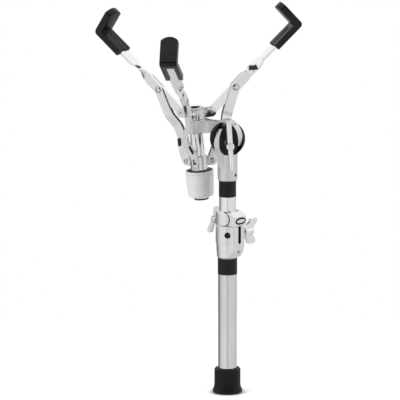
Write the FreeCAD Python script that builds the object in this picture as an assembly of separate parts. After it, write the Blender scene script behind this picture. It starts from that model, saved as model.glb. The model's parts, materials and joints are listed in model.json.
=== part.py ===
import FreeCAD, Part
import math
import os

# Snare drum stand without legs: a rubber-footed pole, a ball tilter and a three-arm basket on an offset arm.
# Millimetres. The origin is on the pole axis at the bottom of the foot. Z is up and the basket is towards -X.

# Fits and clearances
run_fit = 0.05
side_gap = 0.3
seat_gap = 0.05
skin = 0.4

# Lower pole
lower_radius = 14.3
lower_wall = 1.4
lower_length = 225.0
foot_floor = 8.0
foot_height = 38.0
foot_top_radius = 19.85
foot_base_radius = 22.65
foot_flare = 14.0
foot_edge = 4.0
foot_dish = 1.6
foot_lip = 2.4
foot_flare_pull = 0.7
band_height = 25.0
band_gap = 1.0

# Height clamp
clamp_height = 50.0
clamp_socket = 23.0
clamp_radius = 18.0
clamp_base_radius = 16.0
clamp_step = 0.6
clamp_chamfer = 1.0
ear_reach = 24.0
ear_front = 13.0
ear_back = 15.0
ear_round = 6.5
ear_curve_height = 21.0
slot_width = 3.8
stud_radius = 3.0
stud_offset = 19.5
stud_drop = 12.5
stud_depth = 8.0
washer_radius = 8.0
washer_thick = 1.6
key_size = 9.0
key_drop = 13.5
key_angle = -50.0
set_screw_radius = 2.5
set_screw_rise = 10.0
set_screw_length = 6.0
bushing_gap = 0.3

# Wing nut and wing screw
wing_span = 20.0
wing_hub_radius = 6.5
wing_hub_tip = 5.2
wing_hub_length = 17.0
wing_thick = 5.0
wing_root = 4.0
wing_lean = 9.0
wing_width = 20.0
wing_round = 4.0
wing_turn = 97.0

# Upper pole and memory lock
upper_radius = 12.7
upper_wall = 1.5
upper_length = 282.8
lock_gap = 0.5
lock_height = 20.5
lock_radius = 18.0
lock_reach = 26.0
lock_half_width = 14.0
lock_round = 3.0
lock_chamfer = 1.0
lock_slope_start = 14.0
lock_slope_drop = 5.5
lock_split = 8.0
lock_split_gap = 2.2
lock_lug_start = 4.0
lock_pin_radius = 1.6
lock_pin_angle = 39.0
lock_pin_proud = 1.5
lock_screw_radius = 3.0
lock_screw_rise = 4.5
lock_boss_radius = 4.4
lock_boss_reach = 18.3
lock_screw_angle = 190.0
lock_wing_turn = 34.0
lock_wing_span = 21.0
lock_wing_lean = 1.5
lock_wing_width = 9.6
lock_wing_thick = 4.0
lock_wing_hub = 8.0
exposed_tube = 47.8

# Ball tilter
ball_radius = 26.7
ball_rise = 63.9
ball_split_gap = 0.8
base_radius = 15.0
base_socket = 24.0
base_chamfer = 1.0
base_dish_gap = 0.6
neck_low = 42.0
neck_mid = 27.5
neck_swell = 2.6
neck_angle = -20.0
base_screw_rise = 9.0
base_screw_angle = 5.0
yoke_width = 10.3
yoke_depth = 7.7
yoke_proud = 3.3
yoke_shift = 4.5
lower_yoke_end = 50.0
upper_yoke_end = -25.0
yoke_screw_radius = 1.6
yoke_screw_length = 4.0
yoke_screw_angles = (11.0, 43.0)
bolt_radius = 3.5
bolt_head_radius = 6.0
bolt_head_length = 5.0
bolt_head_sink = 1.0
bolt_washer_radius = 6.2
handle_angle = -45.0
handle_distance = 48.0
handle_hub_radius = 6.0
handle_hub_round = 1.5
handle_stem_radius = 5.2
handle_bar_radius = 3.6
handle_bar_tip = 2.9
handle_bar_half = 37.0
handle_bar_turn = 2.0
spot_face = 2.0

# Rest lean of the basket on the ball
side_lean = 2.78
fore_lean = -3.28

# Offset arm and column, measured from the ball centre
column_offset = 61.3
column_radius = 10.0
column_wall = 1.6
column_bottom = -81.0
arm_low = 6.5
arm_high = 25.5
arm_narrow = 32.0
boss_radius = 13.7
boss_low = 3.5
boss_high = 26.0
boss_screw_rise = 11.5
boss_edge = 1.0

# Basket linkage, measured from the ball centre and the column axis
arm_angles = {"left": 180.0, "front": -60.0, "right": 60.0}
upper_pivot_radius = 25.5
lower_pivot_radius = 21.8
lower_pivot_height = -41.2
arm_slope = 38.2
crank_length = 52.7
bar_reach = 185.0
tip_cover = 7.0
pin_radius = 2.5
open_pivot_gap = 2.0
bar_width = 14.0
bar_tip_width = 16.6
bar_thick = 4.0
twist_start = 31.0
twist_length = 28.0
twist_steps = 5
strut_width = 15.0
strut_wall = 1.5
strut_tail = 22.0
web_start = 22.0
web_end = 15.0
strut_bow = 9.4
bow_starts = (9.0, 43.0)
bow_ends = (50.0, 79.0)
bow_pull = 0.4
tongue_radius = 7.4
clevis_wall = 3.0
rivet_head_radius = 4.4
rivet_head_height = 1.8
pin_proud = 0.8
bumper_size = (11.0, 5.0, 2.2)
bumper_rise = 27.7
bumper_share = 0.52
bumper_turn = -19.0

# Spiders and knob
upper_hub_radius = 14.5
upper_hub_height = 14.0
spider_nut_height = 3.0
spider_nut_size = 24.0
lower_hub_radius = 13.0
lower_hub_top = -31.0
lower_hub_bottom = -52.0
hub_edge = 1.5
thrust_thick = 1.5
knob_radius = 21.5
knob_wall = 2.4
knob_base_radius = 19.6
knob_top = -58.0
knob_bottom = -94.0
knob_step_radius = 11.7
knob_step = 2.6
knob_edge = 3.0
insert_height = 8.5
insert_clearance = 1.0
knob_bore = 14.0
knob_floor = 3.0
nut_top = -65.0
nut_bottom = -79.0
cap_thick = 2.4
cap_radius = 10.9

# Rubber tips
tip_width = 26.6
tip_leg = 54.0
tip_fence = 47.5
tip_leg_thick = 9.5
tip_fence_thick = 11.0
tip_round = 6.0
tip_crown = 6.0
tip_slot_width = 12.6
tip_slot_length = 40.0
tip_groove_width = 7.0
tip_groove_depth = 1.6
tip_groove_length = 36.0

# Heights, reaches and radii that follow from the sizes above
lower_top = foot_floor + lower_length
clamp_bottom = lower_top - clamp_socket
clamp_top = clamp_bottom + clamp_height
lock_bottom = clamp_top + lock_gap
lock_top = lock_bottom + lock_height
base_bottom = lock_top + exposed_tube
upper_top = base_bottom + base_socket
ball_height = base_bottom + ball_rise
yoke_inner = ball_radius - yoke_depth
yoke_outer = ball_radius + yoke_proud
insert_top = lower_hub_bottom - thrust_thick - side_gap
upper_hub_top = boss_high + upper_hub_height
column_top = upper_hub_top + spider_nut_height
tip_reach = bar_reach + tip_cover

x_axis = FreeCAD.Vector(1, 0, 0)
y_axis = FreeCAD.Vector(0, 1, 0)
z_axis = FreeCAD.Vector(0, 0, 1)
origin = FreeCAD.Vector(0, 0, 0)
far = 1000.0
full_turn = 360.0
half_turn = full_turn / 2
quarter_turn = full_turn / 4
hex_sides = 6
sector_sides = 4
round_share = 1 - math.sqrt(0.5)


# Building blocks

def vec(x, y, z):
    return FreeCAD.Vector(x, y, z)


def rod(radius, start, end):
    step = end - start
    return Part.makeCylinder(radius, step.Length, start, step)


def cone(start_radius, end_radius, start, end):
    step = end - start
    return Part.makeCone(start_radius, end_radius, step.Length, start, step)


def ring(outer, inner, start, end):
    return rod(outer, start, end).cut(rod(inner, start, end))


def block(low, high):
    size = high - low
    return Part.makeBox(size.x, size.y, size.z, low)


def outline(start, *steps):
    # A step is the next corner, or a pair of points for an arc through the first to the second.
    edges = []
    here = start
    for step in steps + (start,):
        if isinstance(step, tuple):
            edges.append(Part.Arc(here, step[0], step[1]).toShape())
            here = step[1]
        elif not step.isEqual(here, seat_gap):
            edges.append(Part.LineSegment(here, step).toShape())
            here = step
    return Part.Wire(edges)


def extruded(wire, step):
    return Part.Face(wire).extrude(step)


def turned(wire):
    return Part.Face(wire).revolve(origin, z_axis, full_turn)


def turn(shape, axis, angle):
    shape = shape.copy()
    shape.rotate(origin, axis, angle)
    return shape


def shift(shape, step):
    shape = shape.copy()
    shape.translate(step)
    return shape


def hexagon(across_flats, start, step):
    # A six-sided prism, with a corner at the top when it lies flat.
    corner = across_flats / math.sqrt(3.0)
    forward = FreeCAD.Vector(step)
    forward.normalize()
    across = forward.cross(z_axis) if abs(forward.z) < 1 else FreeCAD.Vector(x_axis)
    across.normalize()
    upward = forward.cross(across)
    corners = []
    for index in range(hex_sides):
        angle = math.radians((index + 0.5) * full_turn / hex_sides)
        corners.append(start + (across * math.cos(angle) + upward * math.sin(angle)) * corner)
    return extruded(outline(*corners), step)


def edges_at_height(shape, height):
    found = []
    for edge in shape.Edges:
        box = edge.BoundBox
        if abs(box.ZMin - height) < seat_gap and abs(box.ZMax - height) < seat_gap:
            found.append(edge)
    return found


def on_ball(shape):
    return shift(turn(shape, x_axis, side_lean), vec(0, 0, ball_height))


def on_arm(shape):
    return on_ball(turn(shape, y_axis, fore_lean))


def on_column(shape, angle=0.0):
    return on_arm(shift(turn(shape, z_axis, angle), vec(-column_offset, 0, 0)))


# Lower pole

def rubber_foot():
    socket = lower_radius + seat_gap
    edge_mid = foot_edge * round_share
    flare_mid = vec(foot_top_radius + foot_flare_pull, 0, (foot_edge + foot_flare) / 2)
    return turned(outline(
        origin,
        vec(foot_base_radius - foot_edge, 0, 0),
        (vec(foot_base_radius - edge_mid, 0, edge_mid), vec(foot_base_radius, 0, foot_edge)),
        (flare_mid, vec(foot_top_radius, 0, foot_flare)),
        vec(foot_top_radius, 0, foot_height - foot_dish),
        vec(foot_top_radius - foot_dish, 0, foot_height),
        vec(foot_top_radius - foot_lip, 0, foot_height),
        vec(socket, 0, foot_height - foot_dish),
        vec(socket, 0, foot_floor),
        vec(0, 0, foot_floor)))


def lower_tube():
    return ring(lower_radius, lower_radius - lower_wall, vec(0, 0, foot_floor), vec(0, 0, lower_top))


def band(radius, top):
    return ring(radius + skin, radius, vec(0, 0, top - band_height), vec(0, 0, top))


def clamp_slot():
    return block(vec(0, -slot_width / 2, lower_top), vec(far, slot_width / 2, far))


def clamp_ear():
    # The ear's free edge is upright above and curves in to the casting's foot below.
    low = clamp_bottom + clamp_chamfer
    curve_top = clamp_bottom + ear_curve_height
    inset = ear_reach - clamp_base_radius
    drop = curve_top - low
    curve = (inset ** 2 + drop ** 2) / (2 * inset)
    half_sweep = math.asin(drop / curve) / 2
    middle_x = ear_reach - curve * (1 - math.cos(half_sweep))
    middle_z = curve_top - curve * math.sin(half_sweep)
    face = outline(
        vec(0, -ear_front, low),
        vec(clamp_base_radius, -ear_front, low),
        (vec(middle_x, -ear_front, middle_z), vec(ear_reach, -ear_front, curve_top)),
        vec(ear_reach, -ear_front, clamp_top),
        vec(0, -ear_front, clamp_top))
    ear = extruded(face, vec(0, ear_front + ear_back, 0))
    corners = []
    for edge in ear.Edges:
        box = edge.BoundBox
        outer = box.XMax > ear_reach - seat_gap and box.XMin > clamp_base_radius - seat_gap
        if outer and box.YLength < seat_gap and box.ZMin < clamp_top - seat_gap:
            corners.append(edge)
    return ear.makeFillet(ear_round, corners)


def stud_ends():
    height = clamp_top - stud_drop
    return vec(stud_offset, -stud_depth, height), vec(stud_offset, ear_back, height)


def key_prism(size, length):
    height = clamp_top - key_drop
    prism = hexagon(size, vec(upper_radius + lower_wall, 0, height), vec(length, 0, 0))
    return turn(prism, z_axis, key_angle)


def set_screw_ends():
    height = clamp_bottom + set_screw_rise
    return vec(lower_radius + seat_gap, 0, height), vec(lower_radius + set_screw_length, 0, height)


def height_clamp():
    body = turned(outline(
        vec(0, 0, clamp_bottom),
        vec(clamp_base_radius - clamp_chamfer, 0, clamp_bottom),
        vec(clamp_base_radius, 0, clamp_bottom + clamp_chamfer),
        vec(clamp_radius - clamp_step, 0, lower_top),
        vec(clamp_radius, 0, lower_top + clamp_step),
        vec(clamp_radius, 0, clamp_top - clamp_chamfer),
        vec(clamp_radius - clamp_chamfer, 0, clamp_top),
        vec(0, 0, clamp_top)))
    body = body.fuse(clamp_ear())
    body = body.cut(rod(lower_radius + seat_gap, origin, vec(0, 0, far)))
    body = body.cut(clamp_slot())
    start, end = stud_ends()
    body = body.cut(rod(stud_radius + seat_gap, start, end + y_axis * far))
    start, end = set_screw_ends()
    body = body.cut(rod(set_screw_radius + seat_gap, start, end + x_axis * far))
    return body.cut(key_prism(key_size, clamp_radius)).removeSplitter()


def clamp_bushing():
    low = vec(0, 0, lower_top + bushing_gap)
    high = vec(0, 0, clamp_top - bushing_gap)
    key = key_prism(key_size - 2 * side_gap, clamp_radius - upper_radius - lower_wall - side_gap)
    sleeve = rod(lower_radius, low, high).fuse(key)
    return sleeve.cut(rod(upper_radius + run_fit, low, high)).cut(clamp_slot())


def clamp_stud():
    start, end = stud_ends()
    return rod(stud_radius, start, end + y_axis * (washer_thick + wing_hub_length))


def clamp_washer():
    start, end = stud_ends()
    return ring(washer_radius, stud_radius + seat_gap, end, end + y_axis * washer_thick)


def set_screw(start, end):
    forward = end - start
    forward.normalize()
    socket = hexagon(set_screw_radius, end - forward * set_screw_radius, forward * far)
    return rod(set_screw_radius, start, end).cut(socket)


# Wings, drawn along Z with the seat at the origin

def wing(span, lean, width, thick, hub_length):
    low = wing_hub_radius - wing_root
    leaf = outline(
        vec(wing_hub_radius, -thick / 2, low),
        vec(span, -thick / 2, lean),
        vec(span, -thick / 2, lean + width),
        vec(wing_hub_tip, -thick / 2, hub_length),
        vec(-wing_hub_tip, -thick / 2, hub_length),
        vec(-span, -thick / 2, lean + width),
        vec(-span, -thick / 2, lean),
        vec(-wing_hub_radius, -thick / 2, low))
    leaf = extruded(leaf, vec(0, thick, 0))
    corners = []
    for edge in leaf.Edges:
        box = edge.BoundBox
        if box.YLength > thick - seat_gap and max(box.XMax, -box.XMin) > span - seat_gap:
            corners.append(edge)
    leaf = leaf.makeFillet(wing_round, corners)
    return leaf.fuse(cone(wing_hub_radius, wing_hub_tip, origin, vec(0, 0, hub_length)))


def clamp_wing_nut():
    nut = wing(wing_span, wing_lean, wing_width, wing_thick, wing_hub_length)
    nut = nut.cut(rod(stud_radius + run_fit, origin, vec(0, 0, far)))
    start, end = stud_ends()
    nut = turn(turn(nut, z_axis, wing_turn), x_axis, -quarter_turn)
    return shift(nut, end + y_axis * (washer_thick + side_gap))


# Upper pole

def upper_tube():
    foot = vec(0, 0, upper_top - upper_length)
    return ring(upper_radius, upper_radius - upper_wall, foot, vec(0, 0, upper_top))


def lock_lug(gap):
    # The left half ends in a round lug that lies in a round seat of the right half.
    centre = vec(lock_lug_start, -far, (lock_bottom + lock_top) / 2)
    lug = rod(lock_height / 2 + gap, centre, centre + y_axis * (2 * far))
    return lug.fuse(block(vec(-far, -far, 0), vec(lock_split + gap, far, far)))


def lock_pin_line(sign):
    middle = (upper_radius + lock_radius) / 2
    angle = math.radians(sign * lock_pin_angle)
    foot = vec(middle * math.cos(angle), middle * math.sin(angle), lock_bottom)
    return foot, foot + z_axis * (lock_height + lock_pin_proud)


def lock_screw_line():
    foot = vec(0, 0, lock_bottom + lock_screw_rise)
    angle = math.radians(lock_screw_angle)
    out = vec(math.cos(angle), math.sin(angle), 0)
    return foot + out * (upper_radius + side_gap), foot + out * lock_boss_reach


def lock_body():
    low = vec(0, 0, lock_bottom)
    high = vec(0, 0, lock_top)
    head = block(vec(0, -lock_half_width, lock_bottom), vec(lock_reach, lock_half_width, lock_top))
    corners = []
    for edge in head.Edges:
        if edge.BoundBox.ZLength > lock_height - seat_gap and edge.BoundBox.XMin > lock_reach - seat_gap:
            corners.append(edge)
    body = rod(lock_radius, low, high).fuse(head.makeFillet(lock_round, corners)).removeSplitter()
    rims = edges_at_height(body, lock_top) + edges_at_height(body, lock_bottom)
    body = body.makeChamfer(lock_chamfer, rims)
    slope = outline(
        vec(lock_slope_start, -lock_half_width, lock_top),
        vec(lock_reach, -lock_half_width, lock_top - lock_slope_drop),
        vec(lock_reach, -lock_half_width, lock_top))
    body = body.cut(extruded(slope, vec(0, 2 * lock_half_width, 0)))
    start, end = lock_screw_line()
    body = body.fuse(rod(lock_boss_radius, start, end))
    body = body.cut(rod(lock_screw_radius + run_fit, start, start + (end - start) * far))
    for sign in (1, -1):
        start, end = lock_pin_line(sign)
        body = body.cut(rod(lock_pin_radius + seat_gap, start, end))
    return body.cut(rod(upper_radius + seat_gap, low, high))


def memory_lock_left():
    return lock_body().common(lock_lug(0))


def memory_lock_right():
    return lock_body().cut(lock_lug(lock_split_gap))


def memory_lock_pins():
    pins = []
    for sign in (1, -1):
        start, end = lock_pin_line(sign)
        pins.append(rod(lock_pin_radius, start, end))
    return Part.makeCompound(pins)


def memory_lock_wing():
    start, end = lock_screw_line()
    leaf = wing(lock_wing_span, lock_wing_lean, lock_wing_width, lock_wing_thick, lock_wing_hub)
    leaf = turn(turn(leaf, z_axis, lock_wing_turn), y_axis, quarter_turn)
    leaf = turn(leaf, z_axis, lock_screw_angle)
    out = end - start
    out.normalize()
    seat = end + out * side_gap
    return shift(leaf, seat).fuse(rod(lock_screw_radius, start, seat))


# Ball tilter, drawn about the ball centre

def sector(axis, low_angle, high_angle):
    # A wedge about X or Y from one angle to the other.
    points = [origin]
    for index in range(sector_sides + 1):
        angle = math.radians(low_angle + (high_angle - low_angle) * index / sector_sides)
        across = x_axis if axis is y_axis else y_axis
        points.append((across * math.cos(angle) + z_axis * math.sin(angle)) * far)
    return shift(extruded(outline(*points), axis * yoke_width), axis * (-yoke_width / 2))


def yoke(axis, root, low_angle, high_angle):
    # Thick at its root, above or below the ball, and thinner towards its two ends.
    half = axis * (yoke_width / 2)
    centre = z_axis * (root * yoke_shift)
    band = rod(yoke_outer - yoke_shift, centre - half, centre + half).cut(rod(yoke_inner, -half, half))
    return band.common(sector(axis, low_angle, high_angle))


def base_screw_line():
    height = base_screw_rise - ball_rise
    angle = math.radians(base_screw_angle)
    out = vec(math.cos(angle), math.sin(angle), 0)
    lift = z_axis * height
    return lift + out * (upper_radius + seat_gap), lift + out * (base_radius - seat_gap)


def tilter_base():
    foot = vec(0, 0, -ball_rise)
    body = rod(base_radius, foot, origin)
    body = body.makeChamfer(base_chamfer, edges_at_height(body, -ball_rise))
    body = body.cut(Part.makeSphere(ball_radius + base_dish_gap))
    arms = yoke(x_axis, -1, half_turn - lower_yoke_end, full_turn + lower_yoke_end)
    edge = -yoke_width / 2
    angle = math.radians(neck_angle)
    side = (yoke_outer - yoke_shift) * math.cos(angle)
    rise = (yoke_outer - yoke_shift) * math.sin(angle) - yoke_shift
    face = outline(
        vec(edge, base_radius, -neck_low),
        (vec(edge, base_radius + neck_swell, -neck_mid), vec(edge, side, rise)),
        vec(edge, -side, rise),
        (vec(edge, -base_radius - neck_swell, -neck_mid), vec(edge, -base_radius, -neck_low)))
    neck = extruded(face, vec(yoke_width, 0, 0))
    neck = neck.cut(rod(yoke_inner, vec(-yoke_width, 0, 0), vec(yoke_width, 0, 0)))
    body = body.fuse([arms, neck]).removeSplitter()
    body = body.cut(rod(upper_radius + seat_gap, foot, foot + z_axis * base_socket))
    start, end = base_screw_line()
    body = body.cut(rod(set_screw_radius + seat_gap, start, start + (end - start) * far))
    return shift(body, vec(0, 0, ball_height))


def base_set_screw():
    start, end = base_screw_line()
    return shift(set_screw(start, end), vec(0, 0, ball_height))


def on_handle(shape):
    # From a drawing along X to the line of the T-handle.
    return on_ball(turn(shape, z_axis, handle_angle))


def along(distance):
    return vec(distance, 0, 0)


def ball():
    half = yoke_width / 2 + side_gap
    body = Part.makeSphere(ball_radius)
    for axis in (x_axis, y_axis):
        body = body.cut(ring(yoke_outer, yoke_inner - side_gap, axis * -half, axis * half))
    body = turn(body, z_axis, -handle_angle)
    seat = ball_radius - spot_face
    body = body.cut(rod(bolt_washer_radius + side_gap, along(seat), along(far)))
    body = body.cut(rod(bolt_radius + seat_gap, along(-far), along(far)))
    head = along(bolt_head_length + bolt_head_sink - ball_radius)
    return body.cut(rod(bolt_head_radius + side_gap, along(-far), head))


def ball_front():
    keep = block(vec(ball_split_gap / 2, -far, -far), vec(far, far, far))
    return on_handle(ball().common(keep))


def ball_back():
    keep = block(vec(-far, -far, -far), vec(-ball_split_gap / 2, far, far))
    return on_handle(ball().common(keep))


def tilter_bolt():
    tail = bolt_head_sink - ball_radius
    head = rod(bolt_head_radius, along(tail), along(tail + bolt_head_length))
    head = head.cut(hexagon(bolt_head_radius, along(tail), along(bolt_head_length / 2)))
    return on_handle(head.fuse(rod(bolt_radius, along(tail + bolt_head_length), along(handle_distance))))


def tilter_washer():
    seat = ball_radius - spot_face
    top = seat + washer_thick
    return on_handle(ring(bolt_washer_radius, bolt_radius + seat_gap, along(seat), along(top)))


def tilter_handle():
    start = ball_radius - spot_face + washer_thick + side_gap
    hub_start = handle_distance - handle_hub_radius
    hub_end = handle_distance + handle_hub_radius
    body = cone(bolt_washer_radius - side_gap, handle_stem_radius, along(start), along(hub_start))
    body = body.fuse(rod(handle_hub_radius, along(hub_start), along(hub_end)))
    rim = [edge for edge in body.Edges if edge.BoundBox.XMin > hub_end - seat_gap]
    body = body.makeFillet(handle_hub_round, rim)
    for sign in (1, -1):
        centre = along(handle_distance)
        tip = centre + z_axis * (sign * (handle_bar_half - handle_bar_tip))
        body = body.fuse([cone(handle_bar_radius, handle_bar_tip, centre, tip),
                          Part.makeSphere(handle_bar_tip, tip)])
    body = body.cut(rod(bolt_radius + run_fit, along(0), along(handle_distance + side_gap)))
    return on_handle(turn(body, x_axis, handle_bar_turn))


# Offset arm and column, drawn about the ball centre with the column upright

def yoke_screw_lines():
    lines = []
    for angle in yoke_screw_angles:
        out = vec(math.sin(math.radians(angle)), 0, math.cos(math.radians(angle)))
        head = z_axis * yoke_shift + out * (yoke_outer - yoke_shift - side_gap)
        lines.append((head - out * yoke_screw_length, head))
    return lines


def boss_screw_line():
    foot = vec(-column_offset, 0, boss_low + boss_screw_rise)
    return foot - y_axis * (column_radius + seat_gap), foot - y_axis * (boss_radius - side_gap)


def offset_arm():
    half = yoke_width / 2
    plan = outline(
        vec(0, half, arm_low),
        vec(-arm_narrow, half, arm_low),
        vec(-column_offset, boss_radius, arm_low),
        vec(-column_offset, -boss_radius, arm_low),
        vec(-arm_narrow, -half, arm_low),
        vec(0, -half, arm_low))
    beam = extruded(plan, vec(0, 0, arm_high - arm_low))
    beam = beam.cut(Part.makeSphere(ball_radius + side_gap))
    foot = vec(-column_offset, 0, boss_low)
    head = vec(-column_offset, 0, boss_high)
    boss = rod(boss_radius, foot, head)
    boss = boss.makeFillet(boss_edge, edges_at_height(boss, boss_low) + edges_at_height(boss, boss_high))
    arc = yoke(y_axis, 1, upper_yoke_end, half_turn - upper_yoke_end)
    body = beam.fuse([boss, arc]).removeSplitter()
    body = body.cut(rod(column_radius + seat_gap, foot, head))
    for start, end in yoke_screw_lines():
        body = body.cut(rod(yoke_screw_radius + seat_gap, start, end + (end - start)))
    start, end = boss_screw_line()
    body = body.cut(rod(set_screw_radius + seat_gap, start, end - y_axis * boss_radius))
    return on_arm(body)


def yoke_screws():
    screws = [rod(yoke_screw_radius, start, end) for start, end in yoke_screw_lines()]
    return on_arm(Part.makeCompound(screws))


def column_set_screw():
    start, end = boss_screw_line()
    return on_arm(set_screw(start, end))


def basket_column():
    foot = vec(0, 0, column_bottom)
    return on_column(ring(column_radius, column_radius - column_wall, foot, vec(0, 0, column_top)))


# Basket linkage, drawn in the XZ plane with X outward from the column

def rise_to(distance):
    slope = math.radians(arm_slope)
    return upper_point + vec(distance * math.cos(slope), 0, distance * math.sin(slope))


upper_point = vec(upper_pivot_radius, 0, (boss_high + upper_hub_top) / 2)
lower_point = vec(lower_pivot_radius, 0, lower_pivot_height)
mid_point = rise_to(crank_length)
strut_length = mid_point.distanceToPoint(lower_point)
strut_step = (mid_point - lower_point) / strut_length
strut_out = vec(strut_step.z, 0, -strut_step.x)
plate_inner = bar_thick / 2 + side_gap
plate_outer = plate_inner + strut_wall
ear_outer = plate_inner + clevis_wall


def link(start, end, radius, low, high):
    # A flat bar with round ends between two points of the XZ plane, from y low to y high.
    step = end - start
    step.normalize()
    across = vec(-step.z, 0, step.x)
    face = outline(
        start + across * radius,
        end + across * radius,
        (end + step * radius, end - across * radius),
        start - across * radius,
        (start - step * radius, start + across * radius))
    return extruded(shift(face, y_axis * low), y_axis * (high - low))


def cross_pin(radius, centre, reach):
    return rod(radius, centre - y_axis * reach, centre + y_axis * reach)


def riveted_pin(centre, reach):
    # A pin with a low domed head at each end, outside the plates that it joins.
    pin = cross_pin(pin_radius, centre, reach)
    for sign in (1, -1):
        base = centre + y_axis * (sign * reach)
        curve = (rivet_head_radius ** 2 + rivet_head_height ** 2) / (2 * rivet_head_height)
        dome = Part.makeSphere(curve, base - y_axis * (sign * (curve - rivet_head_height)))
        pin = pin.fuse(dome.common(rod(rivet_head_radius, base, base + y_axis * (sign * rivet_head_height))))
    return pin.removeSplitter()


def upper_spider():
    foot = vec(0, 0, boss_high)
    head = vec(0, 0, upper_hub_top)
    body = rod(upper_hub_radius, foot, head)
    radius = upper_hub_height / 2
    root = vec(upper_hub_radius, 0, upper_point.z)
    for angle in arm_angles.values():
        for low in (plate_inner, -ear_outer):
            ear = link(root, upper_point, radius, low, low + clevis_wall)
            body = body.fuse(turn(ear, z_axis, angle))
        body = body.cut(turn(cross_pin(pin_radius + seat_gap, upper_point, ear_outer), z_axis, angle))
    return on_column(body.cut(rod(column_radius + seat_gap, foot, head)).removeSplitter())


def spider_nut():
    seat = vec(0, 0, upper_hub_top)
    nut = hexagon(spider_nut_size, seat, z_axis * spider_nut_height)
    return on_column(nut.cut(rod(column_radius + seat_gap, seat, seat + z_axis * far)))


def arm_pivot_pins():
    pins = [turn(cross_pin(pin_radius, upper_point, ear_outer + pin_proud), z_axis, angle)
            for angle in arm_angles.values()]
    return on_column(Part.makeCompound(pins))


def lower_spider():
    foot = vec(0, 0, lower_hub_bottom)
    head = vec(0, 0, lower_hub_top)
    body = rod(lower_hub_radius, foot, head)
    body = body.makeFillet(hub_edge, edges_at_height(body, lower_hub_top))
    root = vec(lower_hub_radius, 0, lower_point.z)
    for angle in arm_angles.values():
        tongue = link(root, lower_point, tongue_radius, -bar_thick / 2, bar_thick / 2)
        tongue = tongue.cut(cross_pin(pin_radius + open_pivot_gap, lower_point, bar_thick))
        body = body.fuse(turn(tongue, z_axis, angle))
    return on_column(body.cut(rod(column_radius + run_fit, foot, head)).removeSplitter())


def thrust_washer():
    top = vec(0, 0, lower_hub_bottom)
    return on_column(ring(lower_hub_radius, column_radius + run_fit, top - z_axis * thrust_thick, top))


def on_slope(shape):
    # From a drawing along X, starting at the upper pivot, to the slope of the arm.
    return shift(turn(shape, y_axis, -arm_slope), upper_point)


def bar_section(distance, width, twist):
    angle = math.radians(twist)
    wide = vec(0, math.sin(angle), math.cos(angle)) * (width / 2)
    thin = vec(0, math.cos(angle), -math.sin(angle)) * (bar_thick / 2)
    centre = along(distance)
    return outline(centre + wide + thin, centre + wide - thin, centre - wide - thin, centre - wide + thin)


def basket_arm(angle):
    # Upright at the hub, twisted a quarter turn past the strut, and flat inside the rubber tip.
    start = crank_length + twist_start
    end = start + twist_length
    half = bar_thick / 2
    inner = link(origin, along(start), bar_width / 2, -half, half)
    inner = inner.cut(block(vec(start, -far, -far), vec(far, far, far)))
    sections = []
    for index in range(twist_steps + 1):
        share = index / twist_steps
        width = bar_width + (bar_tip_width - bar_width) * share
        sections.append(bar_section(start + twist_length * share, width, quarter_turn * share))
    twisted = Part.makeLoft(sections, True, True)
    outer = block(vec(end, -bar_tip_width / 2, -half), vec(bar_reach, bar_tip_width / 2, half))
    body = inner.fuse([twisted, outer])
    body = body.cut(cross_pin(pin_radius + run_fit, origin, bar_thick))
    body = body.cut(cross_pin(pin_radius + seat_gap, along(crank_length), bar_thick))
    return on_column(on_slope(body), angle)


def arm_tip(angle):
    # A rubber sleeve on the bar's end with a fence square to it, open below along a slot.
    low = -tip_leg_thick / 2
    start = tip_reach - tip_leg
    fence = tip_reach - tip_fence_thick
    half = tip_width / 2
    face = outline(
        vec(start, -half, low),
        vec(tip_reach, -half, low),
        vec(tip_reach, -half, low + tip_fence),
        vec(fence, -half, low + tip_fence),
        vec(fence, -half, -low),
        vec(start, -half, -low))
    body = extruded(face, vec(0, tip_width, 0))
    crown = (half ** 2 + tip_crown ** 2) / (2 * tip_crown)
    top = vec(0, 0, low + tip_fence - crown)
    lower = block(vec(0, -half, low), vec(far, half, top.z))
    body = body.common(rod(crown, top, top + along(far)).fuse(lower))
    rounded = []
    for edge in body.Edges:
        box = edge.BoundBox
        at_corner = box.YLength > tip_width - seat_gap and abs(box.XMin - tip_reach) < seat_gap
        if at_corner and abs(box.ZMin - low) < seat_gap:
            rounded.append(edge)
    body = body.makeFillet(tip_round, rounded)
    pocket = bar_tip_width / 2 + seat_gap
    thick = bar_thick / 2 + seat_gap
    body = body.cut(block(vec(0, -pocket, -thick), vec(bar_reach + seat_gap, pocket, thick)))
    slot = tip_slot_width / 2
    body = body.cut(block(vec(0, -slot, low), vec(start + tip_slot_length, slot, 0)))
    groove = tip_groove_width / 2
    floor = -low - tip_groove_depth
    body = body.cut(block(vec(0, -groove, floor), vec(start + tip_groove_length, groove, -low)))
    return on_column(on_slope(body), angle)


def arm_rivet(angle):
    return on_column(riveted_pin(mid_point, plate_outer + side_gap), angle)


def bow_curve(start, end):
    # A soft bend aside between two places along the strut, level at both ends.
    run = (end - start).dot(strut_step)
    bend = Part.BezierCurve()
    bend.setPoles([start, start + strut_step * (run * bow_pull), end - strut_step * (run * bow_pull), end])
    return bend


def bow_side(low):
    # One side of the bowed sheet, from below the lower pin to above the rivet.
    aside = y_axis * (low - strut_bow)
    straight = y_axis * low
    places = [lower_point - strut_step * strut_width + straight]
    places += [lower_point + strut_step * bow_starts[0] + straight]
    places += [lower_point + strut_step * bow_starts[1] + aside]
    places += [lower_point + strut_step * bow_ends[0] + aside]
    places += [lower_point + strut_step * bow_ends[1] + straight]
    places += [mid_point + strut_step * strut_width + straight]
    edges = []
    for index, (start, end) in enumerate(zip(places, places[1:])):
        side = bow_curve(start, end) if index % 2 else Part.LineSegment(start, end)
        edges.append(side.toShape())
    return edges


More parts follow.
